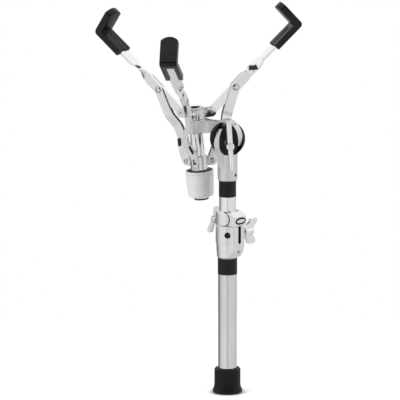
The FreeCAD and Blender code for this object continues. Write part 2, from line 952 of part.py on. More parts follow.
def bowed_sheet(low, high):
    # A sheet that follows the strut's bow, wider than the strut.
    near = bow_side(low)
    away = bow_side(high)
    first = Part.LineSegment(near[0].Vertexes[0].Point, away[0].Vertexes[0].Point).toShape()
    last = Part.LineSegment(near[-1].Vertexes[-1].Point, away[-1].Vertexes[-1].Point).toShape()
    rim = Part.Wire(Part.__sortEdges__(near + away + [first, last]))
    return shift(extruded(rim, strut_out * (2 * strut_width)), strut_out * -strut_width)


def strut(angle):
    # A folded channel astride the arm, bowed aside below and carried on past the rivet as two open cheeks.
    radius = strut_width / 2
    tail = rise_to(crank_length + strut_tail)
    body = None
    for low in (plate_inner, -plate_outer):
        cheek = link(lower_point, mid_point, radius, -strut_width, strut_width)
        cheek = cheek.common(bowed_sheet(low, low + strut_wall))
        cheek = cheek.fuse(link(mid_point, tail, radius, low, low + strut_wall)).removeSplitter()
        body = cheek if body is None else body.fuse(cheek)
    edge = strut_out * radius
    inside = strut_out * (radius - strut_wall)
    first = lower_point + strut_step * web_end
    last = mid_point - strut_step * web_start
    web = outline(first + edge, last + edge, last + inside, first + inside)
    web = extruded(shift(web, y_axis * -strut_width), y_axis * (2 * strut_width))
    body = body.fuse(web.common(bowed_sheet(-plate_outer, plate_outer)))
    body = body.cut(cross_pin(pin_radius + run_fit, mid_point, plate_outer))
    body = body.cut(cross_pin(pin_radius + seat_gap, lower_point, plate_outer))
    return on_column(body.removeSplitter(), angle)


def strut_pin(angle):
    return on_column(riveted_pin(lower_point, plate_outer), angle)


def strut_bumper(angle):
    # A rubber pad on the outer wall of the strut, where the bow is level.
    length, width, thick = bumper_size
    slope = math.degrees(math.atan2(strut_step.z, strut_step.x))
    pad = block(vec(-length / 2, -width / 2, 0), vec(length / 2, width / 2, thick))
    upper = [edge for edge in pad.Edges if edge.BoundBox.ZMin > thick - seat_gap]
    pad = pad.makeFillet(thick / 2, upper)
    pad = turn(pad, x_axis, half_turn)
    pad = turn(pad, z_axis, bumper_turn)
    pad = shift(pad, vec(bumper_rise, -strut_bow * bumper_share, -strut_width / 2))
    return on_column(shift(turn(pad, y_axis, -slope), lower_point), angle)


# Knob, drawn about the column axis

def knob_cup():
    floor = knob_bottom + knob_floor
    mouth = knob_radius - knob_wall
    ledge = insert_top - insert_height
    round_mid = knob_edge * round_share
    cup = turned(outline(
        vec(knob_bore, 0, floor),
        vec(knob_bore, 0, ledge),
        vec(mouth, 0, ledge),
        vec(mouth, 0, knob_top),
        vec(knob_radius, 0, knob_top),
        vec(knob_base_radius, 0, knob_bottom + knob_edge),
        (vec(knob_base_radius - round_mid, 0, knob_bottom + round_mid),
         vec(knob_base_radius - knob_edge, 0, knob_bottom)),
        vec(knob_step_radius, 0, knob_bottom),
        vec(knob_step_radius, 0, knob_bottom - knob_step),
        vec(0, 0, knob_bottom - knob_step),
        vec(0, 0, floor)))
    return on_column(cup)


def knob_insert():
    top = vec(0, 0, insert_top)
    outer = knob_radius - knob_wall - seat_gap
    return on_column(ring(outer, column_radius + insert_clearance, top - z_axis * insert_height, top))


def knob_nut():
    foot = vec(0, 0, nut_bottom)
    return on_column(ring(knob_bore - seat_gap, column_radius + run_fit, foot, vec(0, 0, nut_top)))


def knob_cap():
    top = vec(0, 0, knob_bottom - knob_step - seat_gap)
    return on_column(rod(cap_radius, top - z_axis * cap_thick, top))


# One file per piece

pieces = {
    "rubber_foot": rubber_foot(),
    "lower_tube": lower_tube(),
    "lower_band": band(lower_radius, clamp_bottom - band_gap),
    "height_clamp": height_clamp(),
    "clamp_bushing": clamp_bushing(),
    "clamp_stud": clamp_stud(),
    "clamp_washer": clamp_washer(),
    "clamp_set_screw": set_screw(*set_screw_ends()),
    "clamp_wing_nut": clamp_wing_nut(),
    "upper_tube": upper_tube(),
    "upper_band": band(upper_radius, base_bottom - seat_gap),
    "memory_lock_left": memory_lock_left(),
    "memory_lock_right": memory_lock_right(),
    "memory_lock_pins": memory_lock_pins(),
    "memory_lock_wing": memory_lock_wing(),
    "tilter_base": tilter_base(),
    "base_set_screw": base_set_screw(),
    "ball_front": ball_front(),
    "ball_back": ball_back(),
    "tilter_bolt": tilter_bolt(),
    "tilter_washer": tilter_washer(),
    "tilter_handle": tilter_handle(),
    "offset_arm": offset_arm(),
    "yoke_screws": yoke_screws(),
    "column_set_screw": column_set_screw(),
    "basket_column": basket_column(),
    "upper_spider": upper_spider(),
    "spider_nut": spider_nut(),
    "arm_pivot_pins": arm_pivot_pins(),
    "lower_spider": lower_spider(),
    "thrust_washer": thrust_washer(),
    "knob_cup": knob_cup(),
    "knob_insert": knob_insert(),
    "knob_nut": knob_nut(),
    "knob_cap": knob_cap(),
}
for side, angle in arm_angles.items():
    pieces["basket_arm_" + side] = basket_arm(angle)
    pieces["arm_tip_" + side] = arm_tip(angle)
    pieces["arm_rivet_" + side] = arm_rivet(angle)
    pieces["strut_" + side] = strut(angle)
    pieces["strut_pin_" + side] = strut_pin(angle)
    pieces["strut_bumper_" + side] = strut_bumper(angle)

os.makedirs("parts", exist_ok=True)
for name, shape in pieces.items():
    shape.exportStep("parts/" + name + ".step")
print(len(pieces), "pieces written")
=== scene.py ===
import bpy
import json
import math
from mathutils import Matrix, Vector


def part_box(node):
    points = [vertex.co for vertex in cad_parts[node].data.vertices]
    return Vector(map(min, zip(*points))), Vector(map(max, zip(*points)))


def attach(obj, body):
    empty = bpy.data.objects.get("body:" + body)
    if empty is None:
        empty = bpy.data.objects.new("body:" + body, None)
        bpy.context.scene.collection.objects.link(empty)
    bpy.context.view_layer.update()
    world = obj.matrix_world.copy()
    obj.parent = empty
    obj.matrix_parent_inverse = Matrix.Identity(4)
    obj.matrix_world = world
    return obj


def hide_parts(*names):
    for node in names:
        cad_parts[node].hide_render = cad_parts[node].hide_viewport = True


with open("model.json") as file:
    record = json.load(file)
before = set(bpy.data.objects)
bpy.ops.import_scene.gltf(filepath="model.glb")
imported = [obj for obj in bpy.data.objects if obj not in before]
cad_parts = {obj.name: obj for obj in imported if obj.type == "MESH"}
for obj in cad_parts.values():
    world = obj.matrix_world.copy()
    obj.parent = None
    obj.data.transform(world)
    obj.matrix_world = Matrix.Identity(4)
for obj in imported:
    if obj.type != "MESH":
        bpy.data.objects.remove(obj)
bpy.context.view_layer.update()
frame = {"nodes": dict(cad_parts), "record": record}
nodes = frame["nodes"]
armAngles = {"left": 180, "front": -60, "right": 60}      # degrees round the column
sides = list(armAngles)
fullTurn = 360                # degrees
print("frame loaded:", len(nodes), "nodes")

# camera, on the photo's viewing angle
cameraSet = {
    "azimuth": 40.3,          # degrees from the front, towards +X
    "elevation": 12.5,
    "distance": 20.0,
    "lens": 1192.8,
    "sensor": 36,
    "clip": 50,
    "aimHeight": 0.2975,
    "aimLeft": 0.0415,        # the pole stands right of the picture's middle
}


def cameraVectors():
    azimuth = math.radians(cameraSet["azimuth"])
    elevation = math.radians(cameraSet["elevation"])
    level = math.cos(elevation)
    toCamera = Vector((math.sin(azimuth) * level, -math.cos(azimuth) * level, math.sin(elevation)))
    right = Vector((math.cos(azimuth), math.sin(azimuth), 0))
    return toCamera, right


def makeCamera():
    toCamera, right = cameraVectors()
    aim = Vector((0, 0, cameraSet["aimHeight"])) - right * cameraSet["aimLeft"]
    data = bpy.data.cameras.new("standCamera")
    data.lens = cameraSet["lens"]
    data.sensor_width = cameraSet["sensor"]
    data.clip_end = cameraSet["clip"]
    data.dof.use_dof = False
    camera = bpy.data.objects.new("standCamera", data)
    camera.location = aim + toCamera * cameraSet["distance"]
    camera.rotation_euler = toCamera.to_track_quat("Z", "Y").to_euler()
    bpy.context.scene.collection.objects.link(camera)
    bpy.context.scene.camera = camera


makeCamera()
bpy.context.scene.view_settings.view_transform = "Standard"
print("camera set")

# helpers for node trees


def nodeWith(tree, kind, values=None, **settings):
    node = tree.nodes.new(kind)
    for name, value in settings.items():
        setattr(node, name, value)
    for name, value in (values or {}).items():
        node.inputs[name].default_value = value
    return node


def mathNode(tree, operation, *terms):
    # each term is a number or the output of another node
    node = nodeWith(tree, "ShaderNodeMath", operation=operation)
    for socket, term in zip(node.inputs, terms):
        if isinstance(term, bpy.types.NodeSocket):
            tree.links.new(term, socket)
        else:
            socket.default_value = term
    return node.outputs["Value"]


def stepBetween(tree, source, start, full):
    limits = {"From Min": start, "From Max": full}
    step = nodeWith(tree, "ShaderNodeMapRange", limits, interpolation_type="SMOOTHSTEP")
    tree.links.new(source, step.inputs["Value"])
    return step.outputs["Result"]


def greyColour(grey):
    return (grey, grey, grey, 1)


def greyMix(tree, lower, share, grey):
    mix = nodeWith(tree, "ShaderNodeMixRGB", {"Color2": greyColour(grey)})
    tree.links.new(share, mix.inputs["Fac"])
    tree.links.new(lower, mix.inputs["Color1"])
    return mix.outputs["Color"]


# studio: a white sweep that the camera sees, and a light grey room for the plating to mirror
roomSet = {
    "white": 1.0,
    "bands": [                # degrees round to the left from the camera's side, and the grey there
        (0, 0.62), (12, 0.64), (17, 0.85), (26, 0.87), (40, 0.83), (55, 0.80), (80, 0.76),
        (96, 0.55), (112, 0.36), (121, 0.13), (131, 0.13), (140, 0.38), (170, 0.44), (200, 0.60),
        (245, 0.67), (280, 0.74), (335, 0.76), (346, 0.76), (350, 0.64), (360, 0.62),
    ],
    "layers": [               # grey, and the heights (-1 to 1) where it starts and is full
        (0.94, 0.0, 0.32),            # ceiling
        (0.62, -0.40, -0.75),         # ground
    ],
    "gap": {                  # unlit room above the camera: its grey, heights and degrees
        "grey": 0.04, "low": 0.08, "high": 0.86, "soft": 0.10, "half": 44, "edge": 14,
    },
}


def gapShare(tree, turnShare, height):
    gap = roomSet["gap"]
    opposite = 0.5            # half a turn, the side away from the camera
    aside = mathNode(tree, "ABSOLUTE", mathNode(tree, "SUBTRACT", turnShare, opposite))
    inner = opposite - gap["half"] / fullTurn
    ahead = stepBetween(tree, aside, inner - gap["edge"] / fullTurn, inner)
    rising = stepBetween(tree, height, gap["low"], gap["low"] + gap["soft"])
    falling = stepBetween(tree, height, gap["high"], gap["high"] - gap["soft"])
    return mathNode(tree, "MULTIPLY", mathNode(tree, "MULTIPLY", rising, falling), ahead)


def makeRoom():
    world = bpy.data.worlds.new("studioRoom")
    bpy.context.scene.world = world
    world.use_nodes = True
    tree = world.node_tree
    tree.nodes.clear()
    link = tree.links.new
    coords = tree.nodes.new("ShaderNodeTexCoord")
    turn = (0, 0, math.radians(-cameraSet["azimuth"]))
    turnRoom = nodeWith(tree, "ShaderNodeMapping", {"Rotation": turn}, vector_type="POINT")
    split = tree.nodes.new("ShaderNodeSeparateXYZ")
    share = nodeWith(tree, "ShaderNodeMapRange", {"From Min": -math.pi, "From Max": math.pi})
    link(coords.outputs["Generated"], turnRoom.inputs["Vector"])
    link(turnRoom.outputs["Vector"], split.inputs["Vector"])
    link(mathNode(tree, "ARCTAN2", split.outputs["X"], split.outputs["Y"]), share.inputs["Value"])
    turnShare = share.outputs["Result"]
    height = split.outputs["Z"]
    ramp = tree.nodes.new("ShaderNodeValToRGB")
    stops = ramp.color_ramp.elements
    for index, (angle, grey) in enumerate(roomSet["bands"]):
        stop = stops[index] if index < len(stops) else stops.new(1.0)
        stop.position = angle / fullTurn
        stop.color = greyColour(grey)
    link(turnShare, ramp.inputs["Fac"])
    colour = ramp.outputs["Color"]
    for grey, start, full in roomSet["layers"]:
        colour = greyMix(tree, colour, stepBetween(tree, height, start, full), grey)
    colour = greyMix(tree, colour, gapShare(tree, turnShare, height), roomSet["gap"]["grey"])
    mirrored = tree.nodes.new("ShaderNodeBackground")
    sweep = {"Color": greyColour(1), "Strength": roomSet["white"]}
    seen = nodeWith(tree, "ShaderNodeBackground", sweep)
    path = tree.nodes.new("ShaderNodeLightPath")
    mix = tree.nodes.new("ShaderNodeMixShader")
    output = tree.nodes.new("ShaderNodeOutputWorld")
    link(colour, mirrored.inputs["Color"])
    link(path.outputs["Is Camera Ray"], mix.inputs["Fac"])
    link(mirrored.outputs["Background"], mix.inputs[1])
    link(seen.outputs["Background"], mix.inputs[2])
    link(mix.outputs["Shader"], output.inputs["Surface"])


lightAim = 0.3                # height that the lights point at
lightSet = {                  # angles are degrees to the right of the camera
    "key": {"angle": -62.0, "height": 1.3, "reach": 1.7, "size": 1.1, "power": 17.0},
    "fill": {"angle": 70.0, "height": 0.9, "reach": 2.2, "size": 1.4, "power": 10.0},
    "top": {"angle": 10.0, "height": 2.2, "reach": 0.3, "size": 1.6, "power": 16.0},
}


def makeLights():
    toCamera, right = cameraVectors()
    front = Vector((toCamera.x, toCamera.y, 0)).normalized()
    target = Vector((0, 0, lightAim))
    for name, values in lightSet.items():
        angle = math.radians(values["angle"])
        out = front * math.cos(angle) + right * math.sin(angle)
        data = bpy.data.lights.new(name + "Light", "AREA")
        data.shape = "SQUARE"
        data.size = values["size"]
        data.energy = values["power"]
        lamp = bpy.data.objects.new(name + "Light", data)
        lamp.location = out * values["reach"] + Vector((0, 0, values["height"]))
        lamp.rotation_euler = (lamp.location - target).to_track_quat("Z", "Y").to_euler()
        lamp.visible_glossy = False
        bpy.context.scene.collection.objects.link(lamp)


floorSet = {
    "radius": 0.55, "turns": 96, "grey": 0.80, "rough": 0.9, "lift": 0.22,
    "shadow": 0.012, "falloff": 1.3, "deep": 0.02,        # contact shadow
}


def makeFloor():
    bpy.ops.object.select_all(action="DESELECT")
    bpy.ops.mesh.primitive_circle_add(
        vertices=floorSet["turns"], radius=floorSet["radius"], fill_type="NGON")
    floor = bpy.context.object
    floor.name = "paleFloor"
    material = bpy.data.materials.new("paleFloor")
    material.use_nodes = True
    tree = material.node_tree
    shader = tree.nodes["Principled BSDF"]
    shader.inputs["Roughness"].default_value = floorSet["rough"]
    shader.inputs["Specular IOR Level"].default_value = 0.0
    shader.inputs["Emission Color"].default_value = greyColour(1)
    path = tree.nodes.new("ShaderNodeLightPath")
    shade = nodeWith(tree, "ShaderNodeAmbientOcclusion", {"Distance": floorSet["shadow"]})
    clear = mathNode(tree, "POWER", shade.outputs["AO"], floorSet["falloff"])
    lift = mathNode(tree, "MULTIPLY", path.outputs["Is Camera Ray"], floorSet["lift"])
    greys = {"Color1": greyColour(floorSet["deep"]), "Color2": greyColour(floorSet["grey"])}
    under = nodeWith(tree, "ShaderNodeMixRGB", greys)
    tree.links.new(mathNode(tree, "MULTIPLY", lift, clear), shader.inputs["Emission Strength"])
    tree.links.new(clear, under.inputs["Fac"])
    tree.links.new(under.outputs["Color"], shader.inputs["Base Color"])
    floor.data.materials.append(material)
    floor.visible_glossy = False


makeRoom()
makeLights()
makeFloor()
print("studio set")

# shared effects, each a node group


def newGroup(name, inputs, outputs):
    group = bpy.data.node_groups.new(name, "ShaderNodeTree")
    for label, value in inputs.items():
        socket = group.interface.new_socket(label, in_out="INPUT", socket_type="NodeSocketFloat")
        socket.default_value = value
    for label in outputs:
        group.interface.new_socket(label, in_out="OUTPUT", socket_type="NodeSocketFloat")
    return group, group.nodes.new("NodeGroupInput"), group.nodes.new("NodeGroupOutput")


def objectNoise(tree, scale, detail, roughness):
    coords = tree.nodes.new("ShaderNodeTexCoord")
    noise = nodeWith(tree, "ShaderNodeTexNoise", {"Detail": detail, "Roughness": roughness})
    tree.links.new(coords.outputs["Object"], noise.inputs["Vector"])
    tree.links.new(scale, noise.inputs["Scale"])
    return noise.outputs["Fac"]


# slow clouding and fine rubbing, which change the gloss more than the colour
handlingSet = {
    "cloud": (3, 0.55), "rubAndEdgeHighlight": (5, 0.7),                  # detail and roughness of each noise
    "cloudShare": 0.65, "rubShare": 0.35, "low": 0.32, "high": 0.68,
}


def makeHandling():
    inputs = {"Cloud Scale": 30.0, "Rub Scale": 400.0, "Low": 0.1, "High": 0.2}
    group, given, result = newGroup("handlingMarks", inputs, ["Roughness", "Mask"])
    cloud = objectNoise(group, given.outputs["Cloud Scale"], *handlingSet["cloud"])
    rubAndEdgeHighlight = objectNoise(group, given.outputs["Rub Scale"], *handlingSet["rubAndEdgeHighlight"])
    rubbed = mathNode(group, "MULTIPLY", rubAndEdgeHighlight, handlingSet["rubShare"])
    both = mathNode(group, "MULTIPLY_ADD", cloud, handlingSet["cloudShare"], rubbed)
    limits = {"From Min": handlingSet["low"], "From Max": handlingSet["high"]}
    spread = nodeWith(group, "ShaderNodeMapRange", limits)
    gloss = group.nodes.new("ShaderNodeMapRange")
    link = group.links.new
    link(both, spread.inputs["Value"])
    link(spread.outputs["Result"], gloss.inputs["Value"])
    link(given.outputs["Low"], gloss.inputs["To Min"])
    link(given.outputs["High"], gloss.inputs["To Max"])
    link(gloss.outputs["Result"], result.inputs["Roughness"])
    link(spread.outputs["Result"], result.inputs["Mask"])
    return group


# painted highlight: paler grey on the sharp outer edges, standing in for light caught along them, broken
# up by a fine noise
edgeSet = {"detail": 3, "rough": 0.6, "low": 0.30, "high": 0.55, "least": 0.6}


def makePaintedEdgeHighlight():
    inputs = {"Edge Start": 0.55, "Edge Full": 0.68, "Break Scale": 250.0}
    group, given, result = newGroup("edgeRub", inputs, ["Mask"])
    shape = group.nodes.new("ShaderNodeNewGeometry")
    patchy = objectNoise(group, given.outputs["Break Scale"], edgeSet["detail"], edgeSet["rough"])
    edge = nodeWith(group, "ShaderNodeMapRange", interpolation_type="SMOOTHSTEP")
    limits = {"From Min": edgeSet["low"], "From Max": edgeSet["high"], "To Min": edgeSet["least"]}
    highlightBreak = nodeWith(group, "ShaderNodeMapRange", limits)
    link = group.links.new
    link(shape.outputs["Pointiness"], edge.inputs["Value"])
    link(given.outputs["Edge Start"], edge.inputs["From Min"])
    link(given.outputs["Edge Full"], edge.inputs["From Max"])
    link(patchy, highlightBreak.inputs["Value"])
    mask = mathNode(group, "MULTIPLY", edge.outputs["Result"], highlightBreak.outputs["Result"])
    link(mask, result.inputs["Mask"])
    return group


# a pebbled skin, as on cast metal and moulded rubber
grainSet = {"detail": 4, "rough": 0.6}


def makeGrain():
    group, given, result = newGroup("skinGrain", {"Grain Scale": 900.0, "Dimple": 0.5}, ["Height"])
    coords = group.nodes.new("ShaderNodeTexCoord")
    cells = nodeWith(group, "ShaderNodeTexVoronoi", feature="F1")
    soft = objectNoise(group, given.outputs["Grain Scale"], grainSet["detail"], grainSet["rough"])
    mix = nodeWith(group, "ShaderNodeMix", data_type="FLOAT")
    link = group.links.new
    link(coords.outputs["Object"], cells.inputs["Vector"])
    link(given.outputs["Grain Scale"], cells.inputs["Scale"])
    link(given.outputs["Dimple"], mix.inputs["Factor"])
    link(soft, mix.inputs["A"])
    link(cells.outputs["Distance"], mix.inputs["B"])
    link(mix.outputs["Result"], result.inputs["Height"])
    return group


handlingMarks = makeHandling()
edgeRub = makePaintedEdgeHighlight()
skinGrain = makeGrain()
print("shared effects made")

# finishes: greys, gloss, scales of the marks and of the grain, and the grain's depth in metres
finishSet = {
    "poleChrome": {
        "dark": 0.72, "light": 0.80, "tint": (1.0, 1.0, 1.01), "metal": 1.0, "shine": 0.5,
        "rough": (0.07, 0.15), "cloud": 18, "rubAndEdgeHighlight": 300, "grain": 700, "dimple": 0.0, "depth": 0.00002,
    },
    "brightChrome": {
        "dark": 0.90, "light": 0.97, "tint": (1.0, 1.0, 1.01), "metal": 1.0, "shine": 0.5,
        "rough": (0.06, 0.14), "cloud": 18, "rubAndEdgeHighlight": 300, "grain": 700, "dimple": 0.0, "depth": 0.00002,
    },
    "satinCast": {
        "dark": 0.84, "light": 0.94, "tint": (1.0, 0.995, 0.99), "metal": 1.0, "shine": 0.5,
        "rough": (0.22, 0.34), "cloud": 35, "rubAndEdgeHighlight": 500, "grain": 1100, "dimple": 0.3, "depth": 0.00004,
    },
    "armCast": {
        "dark": 0.75, "light": 0.83, "tint": (1.0, 0.995, 0.99), "metal": 1.0, "shine": 0.5,
        "rough": (0.34, 0.44), "cloud": 30, "rubAndEdgeHighlight": 400, "grain": 1100, "dimple": 0.3, "depth": 0.00002,
    },
    "strutPlate": {
        "dark": 0.88, "light": 0.92, "tint": (1.0, 1.0, 1.005), "metal": 0.9, "shine": 0.5,
        "rough": (0.26, 0.36), "cloud": 12, "rubAndEdgeHighlight": 300, "grain": 900, "dimple": 0.1, "depth": 0.00002,
    },
    "hubChrome": {
        "dark": 0.76, "light": 0.86, "tint": (1.0, 1.0, 1.01), "metal": 1.0, "shine": 0.5,
        "rough": (0.04, 0.10), "cloud": 40, "rubAndEdgeHighlight": 500, "grain": 900, "dimple": 0.2, "depth": 0.00003,
    },
    "zincSteel": {
        "dark": 0.55, "light": 0.68, "tint": (1.0, 1.0, 1.0), "metal": 1.0, "shine": 0.5,
        "rough": (0.22, 0.36), "cloud": 60, "rubAndEdgeHighlight": 800, "grain": 1500, "dimple": 0.2, "depth": 0.00003,
    },
    "darkSteel": {
        "dark": 0.10, "light": 0.16, "tint": (1.0, 1.0, 1.0), "metal": 1.0, "shine": 0.5,
        "rough": (0.25, 0.40), "cloud": 60, "rubAndEdgeHighlight": 800, "grain": 1500, "dimple": 0.2, "depth": 0.00002,
    },
    "footRubber": {
        "dark": 0.004, "light": 0.008, "tint": (1.05, 1.0, 0.90), "metal": 0.0, "shine": 0.22,
        "rough": (0.40, 0.54), "cloud": 40, "rubAndEdgeHighlight": 500, "grain": 900, "dimple": 0.4, "depth": 0.00005,
    },
    "tipRubber": {
        "dark": 0.003, "light": 0.006, "tint": (1.0, 1.0, 1.02), "metal": 0.0, "shine": 0.29,
        "rough": (0.16, 0.26), "cloud": 60, "rubAndEdgeHighlight": 700, "grain": 1000, "dimple": 0.5, "depth": 0.00006,
        # edge: the grey of the painted highlight on the sharp edges
        "edge": 0.22,
    },
    "bandSleeve": {
        "dark": 0.005, "light": 0.011, "tint": (1.05, 1.0, 0.97), "metal": 0.0, "shine": 0.25,
        "rough": (0.34, 0.48), "cloud": 50, "rubAndEdgeHighlight": 600, "grain": 1300, "dimple": 0.3, "depth": 0.00003,
    },
    "ballSkin": {
        "dark": 0.003, "light": 0.008, "tint": (1.0, 1.0, 1.0), "metal": 0.0, "shine": 0.17,
        "rough": (0.42, 0.58), "cloud": 60, "rubAndEdgeHighlight": 700, "grain": 1100, "dimple": 0.7, "depth": 0.00012,
    },
    "knobGrey": {
        "dark": 0.70, "light": 0.76, "tint": (1.0, 1.0, 0.995), "metal": 0.0, "shine": 0.5,
        "rough": (0.30, 0.42), "cloud": 30, "rubAndEdgeHighlight": 400, "grain": 1400, "dimple": 0.3, "depth": 0.00002,
    },
    "blackMoulding": {
        "dark": 0.005, "light": 0.010, "tint": (1.0, 1.0, 1.0), "metal": 0.0, "shine": 0.3,
        "rough": (0.40, 0.55), "cloud": 60, "rubAndEdgeHighlight": 600, "grain": 1200, "dimple": 0.5, "depth": 0.00005,
    },
    "deepBlack": {
        "dark": 0.002, "light": 0.004, "tint": (1.0, 1.0, 1.0), "metal": 0.0, "shine": 0.06,
        "rough": (0.50, 0.65), "cloud": 60, "rubAndEdgeHighlight": 600, "grain": 1200, "dimple": 0.5, "depth": 0.00003,
    },
}


def makeFinish(name, values):
    material = bpy.data.materials.new(name)
    material.use_nodes = True
    tree = material.node_tree
    shader = tree.nodes["Principled BSDF"]
    shader.inputs["Metallic"].default_value = values["metal"]
    shader.inputs["Specular IOR Level"].default_value = values["shine"]
    low, high = values["rough"]
    gloss = {"Cloud Scale": values["cloud"], "Rub Scale": values["rubAndEdgeHighlight"], "Low": low, "High": high}
    marks = nodeWith(tree, "ShaderNodeGroup", gloss, node_tree=handlingMarks)
    skin = {"Grain Scale": values["grain"], "Dimple": values["dimple"]}
    grain = nodeWith(tree, "ShaderNodeGroup", skin, node_tree=skinGrain)
    bump = nodeWith(tree, "ShaderNodeBump", {"Distance": values["depth"]})
    ramp = tree.nodes.new("ShaderNodeValToRGB")
    for stop, grey in zip(ramp.color_ramp.elements, (values["light"], values["dark"])):
        stop.color = tuple(grey * part for part in values["tint"]) + (1,)
    link = tree.links.new
    link(marks.outputs["Mask"], ramp.inputs["Fac"])
    colour = ramp.outputs["Color"]
    # the tips' paler edges are a painted highlight, mixed over the rubber's own grey
    if "edge" in values:
        rubAndEdgeHighlight = nodeWith(tree, "ShaderNodeGroup", node_tree=edgeRub)
        colour = greyMix(tree, colour, rubAndEdgeHighlight.outputs["Mask"], values["edge"])
    link(colour, shader.inputs["Base Color"])
    link(marks.outputs["Roughness"], shader.inputs["Roughness"])
    link(grain.outputs["Height"], bump.inputs["Height"])
    link(bump.outputs["Normal"], shader.inputs["Normal"])
    return material


finishes = {name: makeFinish(name, values) for name, values in finishSet.items()}
slotFinish = {
    "foot_rubber": "footRubber", "tip_rubber": "tipRubber", "bright_chrome": "brightChrome",
    "satin_cast": "satinCast", "plain_steel": "zincSteel", "black_band": "bandSleeve",
    "nylon": "blackMoulding", "ball_plastic": "ballSkin", "grey_plastic": "knobGrey",
    "black_plastic": "blackMoulding",
}
nodeSlot = {row["node"]: row["material_slot"] for row in frame["record"]["subparts"]}
nodeFinish = {                # nodes whose finish differs from the rest of their slot
    "lower_tube": "poleChrome", "offset_arm": "armCast", "tilter_base": "armCast",
    "upper_spider": "hubChrome", "lower_spider": "hubChrome", "memory_lock_wing": "armCast",
    "yoke_screws": "darkSteel", "base_set_screw": "darkSteel", "column_set_screw": "darkSteel",
}
for side in sides:
    nodeFinish["strut_" + side] = "strutPlate"
    nodeFinish["arm_rivet_" + side] = "satinCast"


def finishOf(name):
    return nodeFinish.get(name, slotFinish[nodeSlot[name]])


def dressNodes():
    for name, node in nodes.items():
        node.data.materials.clear()
        node.data.materials.append(finishes[finishOf(name)])


dressNodes()
print("finishes given to the nodes")

# helpers for pieces
facing = 0.9                  # least cosine between an axis and the normal of a face that looks along it


def nameAdded(name):
    piece = bpy.context.object
    piece.name = name
    piece.data.name = name
    return piece


def copyNode(name, nodeName):
    bpy.ops.object.select_all(action="DESELECT")
    piece = bpy.data.objects.new(name, nodes[nodeName].data.copy())
    bpy.context.scene.collection.objects.link(piece)
    piece.select_set(True)
    bpy.context.view_layer.objects.active = piece
    return piece


def insetFaces(piece, axis, inset, shift):
    # insets the faces that look along the axis, and shifts them along it
    bpy.ops.object.mode_set(mode="EDIT")
    bpy.ops.mesh.select_mode(type="FACE")
    bpy.ops.mesh.select_all(action="DESELECT")
    bpy.ops.object.mode_set(mode="OBJECT")
    for face in piece.data.polygons:
        face.select = face.normal.dot(axis) > facing
    bpy.ops.object.mode_set(mode="EDIT")
    bpy.ops.mesh.inset(thickness=inset)
    bpy.ops.transform.translate(value=axis * shift)
    bpy.ops.object.mode_set(mode="OBJECT")


def smoothPiece(angle):
    bpy.ops.object.shade_smooth_by_angle(angle=math.radians(angle))


def roundPiece(piece, values):
    bevel = piece.modifiers.new("edgeRound", "BEVEL")
    bevel.width = values["round"]
    bevel.segments = values["steps"]
    bevel.limit_method = "ANGLE"
    bevel.angle_limit = math.radians(values["corner"])
    bevel.harden_normals = False
    bevel.use_clamp_overlap = True
    bpy.ops.object.modifier_apply(modifier="edgeRound")
    smoothPiece(values["smooth"])


def applyPlace():
    bpy.ops.object.transform_apply(location=True, rotation=True, scale=True)


def finishPiece(piece, finish, body):
    applyPlace()
    piece.data.materials.clear()
    piece.data.materials.append(finishes[finish])
    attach(piece, body)


def sidewaysOf(side):
    angle = math.radians(armAngles[side])
    return Vector((-math.sin(angle), math.cos(angle), 0))


# rubber sleeves of the arms, with the rounded edges of a moulding
tipSet = {"merge": 0.00002, "flat": 2, "round": 0.0016, "steps": 3, "corner": 35, "smooth": 45}


def makeTip(side):
    tip = copyNode("tipSleeve_" + side, "arm_tip_" + side)
    bpy.ops.object.mode_set(mode="EDIT")
    bpy.ops.mesh.select_all(action="SELECT")
    bpy.ops.mesh.remove_doubles(threshold=tipSet["merge"])
    bpy.ops.mesh.dissolve_limited(angle_limit=math.radians(tipSet["flat"]))
    bpy.ops.object.mode_set(mode="OBJECT")
    roundPiece(tip, tipSet)
    finishPiece(tip, "tipRubber", "arm_" + side)
    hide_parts("arm_tip_" + side)


for side in sides:
    makeTip(side)
print("arm tips rounded")

# bare oval plate with its rim, on the end of the memory lock
badgeSet = {
    "wide": 0.0238, "high": 0.0106, "thick": 0.0006, "rim": 0.0024, "recess": 0.0003, "rise": 0.0082,
    "plate": 0.0002, "slack": 0.0002, "margin": 0.0006, "dome": 0.00012,      # the plate inside the rim
    "turns": 72, "round": 0.00012, "steps": 2, "corner": 40, "smooth": 40,
}


def ovalDisc(name, wide, high, thick, centre):
    # a disc of unit size, turned to face +X and then scaled
    bpy.ops.object.select_all(action="DESELECT")
    bpy.ops.mesh.primitive_cylinder_add(vertices=badgeSet["turns"], radius=0.5, depth=1)
    disc = nameAdded(name)
    disc.rotation_euler = (0, math.radians(90), 0)
    disc.scale = (high, wide, thick)
    disc.location = centre
    applyPlace()
    return disc


def makeBadge():
    low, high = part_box("memory_lock_right")
    outward = Vector((1, 0, 0))
    wide, tall, thick = badgeSet["wide"], badgeSet["high"], badgeSet["thick"]
    centre = Vector((high.x + thick / 2, 0, low.z + badgeSet["rise"]))
    rim = ovalDisc("badgeRim", wide, tall, thick, centre)
    insetFaces(rim, outward, badgeSet["rim"], -badgeSet["recess"])
    roundPiece(rim, badgeSet)
    finishPiece(rim, "deepBlack", "upper_pole")
    less = 2 * badgeSet["rim"] + badgeSet["slack"]
    lift = thick / 2 - badgeSet["recess"] + badgeSet["plate"] / 2
    plateCentre = centre + Vector((lift, 0, 0))
    plate = ovalDisc("badgePlate", wide - less, tall - less, badgeSet["plate"], plateCentre)
    insetFaces(plate, outward, badgeSet["margin"], badgeSet["dome"])
    smoothPiece(badgeSet["smooth"])
    finishPiece(plate, "satinCast", "upper_pole")


makeBadge()
print("badge plate made")

# dark rings under the heads of the arm rivets: painted shadow, standing in for the shade in the gap under
# each head
ringSet = {
    "radius": 0.0046, "wire": 0.00042, "turns": 40, "sides": 10,
    "head": 0.0018, "end": 0.00005,       # height of the head, and how near its end a vertex counts
}


